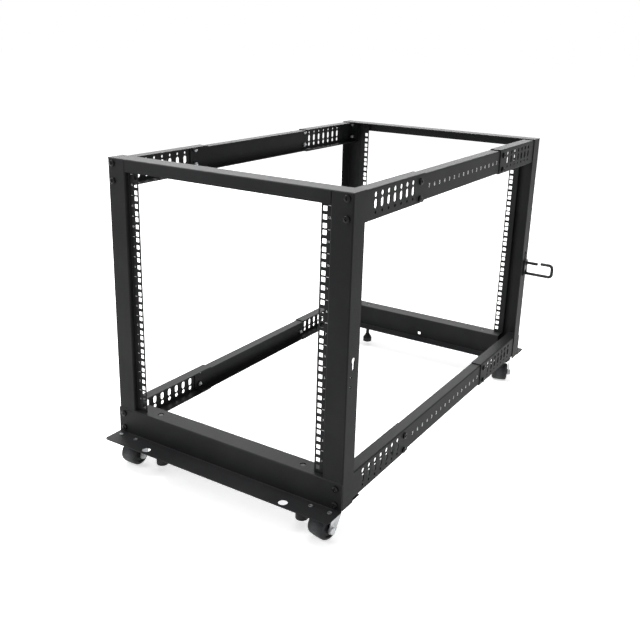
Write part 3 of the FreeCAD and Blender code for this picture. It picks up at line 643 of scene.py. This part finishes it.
def makeCableHook():
    # The plate on the post, a stub and a squared loop of wire, with a bead at each weld:
    # the bead's radius falls from the weld to the wire as a quarter circle.
    low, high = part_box("cable_hook")
    look = cableHook
    radius = look["wire"] / 2
    wall = low.x
    face = wall + look["plateGauge"]
    y, z = (low.y + high.y) / 2, (low.z + high.z) / 2
    root = face - radius
    reach = high.x - radius
    stubZ = z + look["halfHeight"] - look["flare"]
    gapStart = wall + look["gapStart"]
    stub = np.linspace((root, y, stubZ), (gapStart, y, stubZ), look["stubRings"])
    lowZ, highZ = z - look["halfHeight"], z + look["halfHeight"]
    loop = squareRun([(root, y, lowZ), (reach, y, lowZ), (reach, y, highZ),
                      (gapStart + look["gap"], y, highZ)], look["bend"], look["perBend"])
    turn = np.linspace(0, math.pi / 2, look["weldRings"])
    bead = np.stack([radius + look["weld"] * (1 - np.sin(turn)) + look["weldProud"],
                     look["weld"] * (1 - np.cos(turn))], axis=-1)
    inside = radius * look["weldRoot"]
    bead = np.concatenate([[(inside, 0)], bead, [(inside, look["weld"]), (inside, 0)]])
    bead = turnedGrid(bead, look["weldSteps"])
    shapes = [
        placed(plateShape(look), (1, 0, 0), (wall, y, z)),
        tubeShape(stub, look),
        tubeShape(loop, look),
        placed(bead, (1, 0, 0), (face, y, stubZ)),
        placed(bead, (1, 0, 0), (face, y, lowZ)),
    ]
    hook = makePiece("wire_hook", joined(shapes), finishes["hook_black"], "rack")
    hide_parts("cable_hook")


makeCableHook()
print("cable hook made")

hookScrew = dict(panScrew, radius=0.0042, height=0.0022, recessReach=0.0024,
                 recessWidth=0.0006, spacing=0.020, steps=32, rings=14)


def makeHookScrews():
    # Two small heads on the plate that carries the cable hook.
    low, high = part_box("cable_hook")
    plateFace = rack["middleX"] + rack["halfWidth"] + cableHook["plateGauge"]
    head = panHead(hookScrew, hookScrew["height"])
    y, z = (low.y + high.y) / 2, (low.z + high.z) / 2
    heads = [placed(head, (1, 0, 0), (plateFace, y, z + hookScrew["spacing"] * step))
             for step in (-0.5, 0.5)]
    makePiece("hook_screws", joined(heads), boltBlack, "rack")


casterBolts = {
    "plateGauge": 0.0025,
    "radius": 0.004,
    "nutRadius": 0.0065,
    "nutHeight": 0.0045,
    "headRadius": 0.0053,
    "headHeight": 0.0017,
    "boreShare": 0.9,  # of the shank's radius
    "pastNut": 1.3,  # the shank below the plate, over the nut's height
    "intoHead": 0.3,  # the shank inside the head, over the head's height
    "across": 0.044,
    "along": 0.074,
}


def makeCasterBolts():
    # Zinc bolts: a domed head on the flange, a nut under the caster's plate, and the
    # shank from within the head to just past the nut.
    look = casterBolts
    nut = hexShape(dict(hexNut, flats=look["nutRadius"] * 2, height=look["nutHeight"],
                        bore=look["radius"] * look["boreShare"]))
    head = panHead(dict(panScrew, radius=look["headRadius"]), look["headHeight"])
    shankTop = rack["footTop"] + look["headHeight"] * look["intoHead"]
    shapes = []
    for end, side in corners:
        low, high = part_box(f"caster_plate_{end}_{side}")
        x, y = (low.x + high.x) / 2, (low.y + high.y) / 2
        under = high.z - look["plateGauge"]
        foot = under - look["nutHeight"] * look["pastNut"]
        shank = studEnd(look["radius"], shankTop - foot)
        for across in (-0.5, 0.5):
            for along in (-0.5, 0.5):
                place = (x + look["across"] * across, y + look["along"] * along)
                shapes.append(placed(nut, (0, 0, -1), (*place, under)))
                shapes.append(placed(head, (0, 0, 1), (*place, rack["footTop"])))
                shapes.append(placed(shank, (0, 0, 1), (*place, foot)))
    makePiece("caster_bolts", joined(shapes), boltZinc, "rack")


makeHookScrews()
makeCasterBolts()
print("hook and caster bolts made")

tyre = {
    "halfWidth": 0.021,
    "shoulder": 0.0065,
    "crown": 0.0005,  # the tread's fall by its shoulder
    "rimRadius": 0.0172,
    "recess": 0.0035,
    "hubRadius": 0.008,
    "hubReach": 0.0226,  # from the wheel's middle
    "bore": 0.0041,
    "rimLip": 0.0006,
    "arcPoints": 8,
    "treadPoints": 9,
    "steps": 96,
}


def tyreSection(look, radius):
    # Half a section from the tread's middle outwards, as (radius, across): a parabola
    # for the crown, a quarter circle for the shoulder, then side wall, recess and hub.
    halfWidth = look["halfWidth"]
    flat = halfWidth - look["shoulder"]
    across = np.linspace(0, flat, look["treadPoints"])
    tread = np.stack([radius - look["crown"] * (across / flat) ** 2, across], axis=-1)
    turn = np.linspace(0, math.pi / 2, look["arcPoints"])[1:]
    centre = radius - look["crown"] - look["shoulder"]
    shoulder = np.stack([centre + look["shoulder"] * np.cos(turn),
                         flat + look["shoulder"] * np.sin(turn)], axis=-1)
    side = [
        (look["rimRadius"] + look["rimLip"], halfWidth),
        (look["rimRadius"], halfWidth - look["rimLip"]),
        (look["rimRadius"] - look["rimLip"], halfWidth - look["recess"]),
        (look["hubRadius"] + look["rimLip"], halfWidth - look["recess"]),
        (look["hubRadius"], halfWidth - look["recess"] + look["rimLip"]),
        (look["hubRadius"], look["hubReach"]),
        (look["bore"], look["hubReach"]),
    ]
    return np.concatenate([tread, shoulder, side])


def makeWheels():
    # The section mirrored about the wheel's middle and turned round the axle. Each
    # point's share of the half width stays on it, for the tread's colour.
    axes = {joint["child"]: joint["axis"] for joint in frame["joints"]}
    for end, side in corners:
        node = f"caster_wheel_{end}_{side}"
        body = f"wheel_{end}_{side}"
        low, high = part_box(node)
        half = tyreSection(tyre, (high.z - low.z) / 2)
        mirrored = half[::-1] * [1, -1]
        profile = np.concatenate([mirrored, half[1:], mirrored[:1]])
        shape = turnedGrid(profile, tyre["steps"])
        across = shape[0][:, 2] / tyre["halfWidth"]
        centre = tuple((low + high) / 2)
        wheel = makePiece(f"tyre_{end}_{side}", placed(shape, axes[body], centre),
                          finishes["wheel_rubber"], body, weld=False)
        share = wheel.data.attributes.new("across", "FLOAT", "POINT")
        share.data.foreach_set("value", across.astype(np.float32))
        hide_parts(node)


makeWheels()
print("wheels made")

thread = {
    "minor": 0.00495,
    "major": 0.00535,
    "pitch": 0.0015,
    "abovePad": 0.020,  # from the foot's underside to the thread
    "belowTop": 0.012,  # from the thread to the beam's top
    "steps": 20,
    "perTurn": 6,
}


def makeThreads():
    # A stud's thread: the radius is a triangle wave of the height over the pitch less
    # the share of the turn. A row at the axis closes each end.
    shapes = []
    for end, side in corners:
        low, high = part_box(f"levelling_foot_{end}_{side}")
        start = low.z + thread["abovePad"]
        stop = rack["beamTop"] - thread["belowTop"]
        count = int((stop - start) / thread["pitch"] * thread["perTurn"])
        height = np.linspace(start, stop, count)[:, None]
        angle = np.linspace(0, 2 * math.pi, thread["steps"], endpoint=False)[None, :]
        phase = (height / thread["pitch"] - angle / (2 * math.pi)) % 1
        wave = 1 - np.abs(2 * phase - 1)
        radius = thread["minor"] + (thread["major"] - thread["minor"]) * wave
        middle = (low.x + high.x) / 2, (low.y + high.y) / 2
        x = middle[0] + radius * np.cos(angle)
        y = middle[1] + radius * np.sin(angle)
        grid = np.stack(np.broadcast_arrays(x, y, height), axis=-1)
        foot, tip = [np.broadcast_to((*middle, level), grid[:1].shape)
                     for level in (start, stop)]
        grid = np.concatenate([foot, grid, tip])
        shapes.append((grid.reshape(-1, 3), gridFaces(len(grid), thread["steps"])))
    makePiece("stud_threads", joined(shapes), finishes["foot_black"], "rack")


makeThreads()
print("stud threads made")


# A type size is the figures' height times its share. The lift is the ink's thickness.
printing = {"sizeShare": 1.4, "curveSteps": 3, "lift": 0.00006}


def textShape(words, height, weight=0.0):
    # Filled outlines of plain figures, centred, as points and triangles.
    curve = bpy.data.curves.new("figures", "FONT")
    curve.body = words
    curve.size = height * printing["sizeShare"]
    curve.offset = weight
    curve.align_x = "CENTER"
    curve.align_y = "CENTER"
    curve.resolution_u = printing["curveSteps"]
    holder = bpy.data.objects.new("figures", curve)
    bpy.context.scene.collection.objects.link(holder)
    bpy.context.view_layer.update()
    mesh = bpy.data.meshes.new_from_object(holder)
    mesh.calc_loop_triangles()
    points = np.zeros(len(mesh.vertices) * 3)
    mesh.vertices.foreach_get("co", points)
    faces = np.zeros(len(mesh.loop_triangles) * 3, int)
    mesh.loop_triangles.foreach_get("vertices", faces)
    bpy.data.objects.remove(holder)
    bpy.data.curves.remove(curve)
    bpy.data.meshes.remove(mesh)
    return points.reshape(-1, 3), faces.reshape(-1, 3)


def barShape(width, height):
    # A centred rectangle as two triangles.
    x, y = width / 2, height / 2
    points = np.array([(-x, -y, 0), (x, -y, 0), (x, y, 0), (-x, y, 0)])
    return points, np.array([(0, 1, 2), (0, 2, 3)])


def layOn(shape, right, up, place):
    # Each point is its first measure along one direction plus its second along the
    # other, lifted off the plane by the ink's thickness.
    points, faces = shape
    right = np.array(right, float)
    up = np.array(up, float)
    normal = np.cross(right, up)
    turned = points[:, :1] * right + points[:, 1:2] * up
    return turned + np.array(place, float) + normal * printing["lift"], faces


unitMarks = {
    "figureHeight": 0.0042,
    "across": 0.2424,  # from the rack's middle
    "barWidth": 0.005,
    "barHeight": 0.0009,
}


def makeUnitMarks():
    # Unit numbers beside each unit's middle hole and a bar at each unit's edge.
    figures = [textShape(str(number + 1), unitMarks["figureHeight"])
               for number in range(sheet["unitCount"])]
    bar = barShape(unitMarks["barWidth"], unitMarks["barHeight"])
    for end, side in corners:
        out = ends[end]
        right = (-out, 0, 0)
        x = rack["middleX"] + unitMarks["across"] * sides[side]
        y = out * (rack["postFaceY"] - sheet["railRecess"])
        shapes = []
        for number, figure in enumerate(figures):
            edge = rack["unitsBottom"] + sheet["unitPitch"] * number
            middle = edge + sheet["unitPitch"] / 2
            shapes.append(layOn(figure, right, (0, 0, 1), (x, y, middle)))
            shapes.append(layOn(bar, right, (0, 0, 1), (x, y, edge + sheet["unitPitch"])))
        makePiece(f"unit_marks_{end}_{side}", joined(shapes), printWhite, "rack",
                  smooth=False)


depthMarks = {
    "figureHeight": 0.0078,
    "weight": 0.00042,  # thickens the figures
    "pitch": 0.0254,
    "count": 9,
    "shift": 0.004,  # of the whole row, to the rear
}


def makeDepthMarks():
    # Numbers along each slide, counting up from nought to both sides of its middle.
    figures = [textShape(str(step), depthMarks["figureHeight"], depthMarks["weight"])
               for step in range(depthMarks["count"])]
    for side, hand in sides.items():
        for level in ("top", "low"):
            low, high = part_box(f"rail_slide_{level}_{side}")
            x = high.x if hand > 0 else low.x
            z = (low.z + high.z) / 2
            shapes = []
            for step, figure in enumerate(figures):
                for way in (-1, 1):
                    y = way * (step + 0.5) * depthMarks["pitch"] + depthMarks["shift"]
                    shapes.append(layOn(figure, (0, hand, 0), (0, 0, 1), (x, y, z)))
            makePiece(f"depth_marks_{level}_{side}", joined(shapes), printWhite, "rack",
                      smooth=False)


makeUnitMarks()
makeDepthMarks()
print("marks printed")


# Angles are in degrees, and the lens and its sensor in millimetres.
view = {
    "place": (0.94916, -1.71404, 0.97481),
    "azimuth": -31.833,
    "elevation": -17.551,
    "roll": 1.658,
    "lens": 46.155,
    "sensor": 36,
    "shift": (-0.0026, -0.0528),
    "farthest": 50,
}


def addCamera():
    # Axes of the view from its compass turn, its tilt and its roll.
    turn, tilt, roll = (math.radians(view[name])
                        for name in ("azimuth", "elevation", "roll"))
    forward = Vector((math.sin(turn) * math.cos(tilt), math.cos(turn) * math.cos(tilt),
                      math.sin(tilt)))
    level = Vector((math.cos(turn), -math.sin(turn), 0))
    above = level.cross(forward)
    right = level * math.cos(roll) + above * math.sin(roll)
    up = above * math.cos(roll) - level * math.sin(roll)
    camera = bpy.data.cameras.new("camera")
    camera.lens = view["lens"]
    camera.sensor_width = view["sensor"]
    camera.shift_x, camera.shift_y = view["shift"]
    camera.clip_end = view["farthest"]
    holder = bpy.data.objects.new("camera", camera)
    axes = Matrix([right, up, -forward]).transposed().to_4x4()
    holder.matrix_world = Matrix.Translation(Vector(view["place"])) @ axes
    bpy.context.scene.collection.objects.link(holder)
    bpy.context.scene.camera = holder


addCamera()


def seenDirectly(tree):
    # One where the camera, a mirror-like ray or a ray through glass looks, else nought.
    path = tree.nodes.new("ShaderNodeLightPath")
    seen = path.outputs["Is Camera Ray"]
    for name in ("Is Glossy Ray", "Is Transmission Ray"):
        seen = addMath(tree, "MAXIMUM", seen, path.outputs[name])
    return seen


room = {"light": 0.55, "seen": 1.0}  # strengths on the rack and where it is looked at


def setWorld():
    # A soft white light all round, which shows as plain white.
    world = bpy.data.worlds.new("room")
    world.use_nodes = True
    tree = world.node_tree
    soft = tree.nodes["Background"]
    white = tree.nodes.new("ShaderNodeBackground")
    for background, strength in ((soft, room["light"]), (white, room["seen"])):
        background.inputs["Color"].default_value = (1, 1, 1, 1)
        background.inputs["Strength"].default_value = strength
    mix = tree.nodes.new("ShaderNodeMixShader")
    tree.links.new(seenDirectly(tree), mix.inputs["Fac"])
    tree.links.new(soft.outputs["Background"], mix.inputs[1])
    tree.links.new(white.outputs["Background"], mix.inputs[2])
    tree.links.new(mix.outputs["Shader"], tree.nodes["World Output"].inputs["Surface"])
    bpy.context.scene.world = world


setWorld()
bpy.context.scene.view_settings.view_transform = "Standard"

floorLook = {"size": 40.0, "colour": (0.86, 0.86, 0.86), "rough": 0.9, "lift": 0.55}


def makeFloor():
    # A pale sheet. What looks at it directly sees it lifted to white outside the shadow.
    points, faces = barShape(floorLook["size"], floorLook["size"])
    mesh = bpy.data.meshes.new("floor")
    mesh.from_pydata(points.tolist(), [], faces.tolist())
    floor = bpy.data.objects.new("floor", mesh)
    bpy.context.scene.collection.objects.link(floor)
    material = bpy.data.materials.new("paleFloor")
    material.use_nodes = True
    tree = material.node_tree
    shader = tree.nodes["Principled BSDF"]
    shader.inputs["Base Color"].default_value = (*floorLook["colour"], 1)
    shader.inputs["Roughness"].default_value = floorLook["rough"]
    shader.inputs["Specular IOR Level"].default_value = 0.0
    shader.inputs["Emission Color"].default_value = (1, 1, 1, 1)
    lift = addMath(tree, "MULTIPLY", seenDirectly(tree), floorLook["lift"])
    tree.links.new(lift, shader.inputs["Emission Strength"])
    mesh.materials.append(material)


makeFloor()

# Each lamp's power is in watts.
lamps = [
    {"name": "overhead", "place": (-1.1, -0.6, 3.1), "aim": (0, 0, 0.4), "width": 1.6,
     "height": 1.6, "power": 100},
    {"name": "frontLeft", "place": (-2.8, -2.7, 2.8), "aim": (0, 0, 0.35), "width": 1.6,
     "height": 1.6, "power": 58},
    {"name": "rightFill", "place": (3.4, -2.0, 1.8), "aim": (0, 0, 0.35), "width": 2.0,
     "height": 2.0, "power": 3},
    {"name": "rearSoft", "place": (-2.1, 2.9, 2.05), "aim": (-0.2, 0, 0.7), "width": 4.8,
     "height": 1.6, "power": 118},
]


def addLamp(lamp):
    # A soft rectangle of light that faces its aim.
    light = bpy.data.lights.new(lamp["name"], "AREA")
    light.shape = "RECTANGLE"
    light.size = lamp["width"]
    light.size_y = lamp["height"]
    light.energy = lamp["power"]
    holder = bpy.data.objects.new(lamp["name"], light)
    aim = Vector(lamp["aim"]) - Vector(lamp["place"])
    holder.rotation_euler = aim.to_track_quat("-Z", "Y").to_euler()
    holder.location = lamp["place"]
    holder.visible_camera = False
    bpy.context.scene.collection.objects.link(holder)


for lamp in lamps:
    addLamp(lamp)
print("floor, lights and camera set")
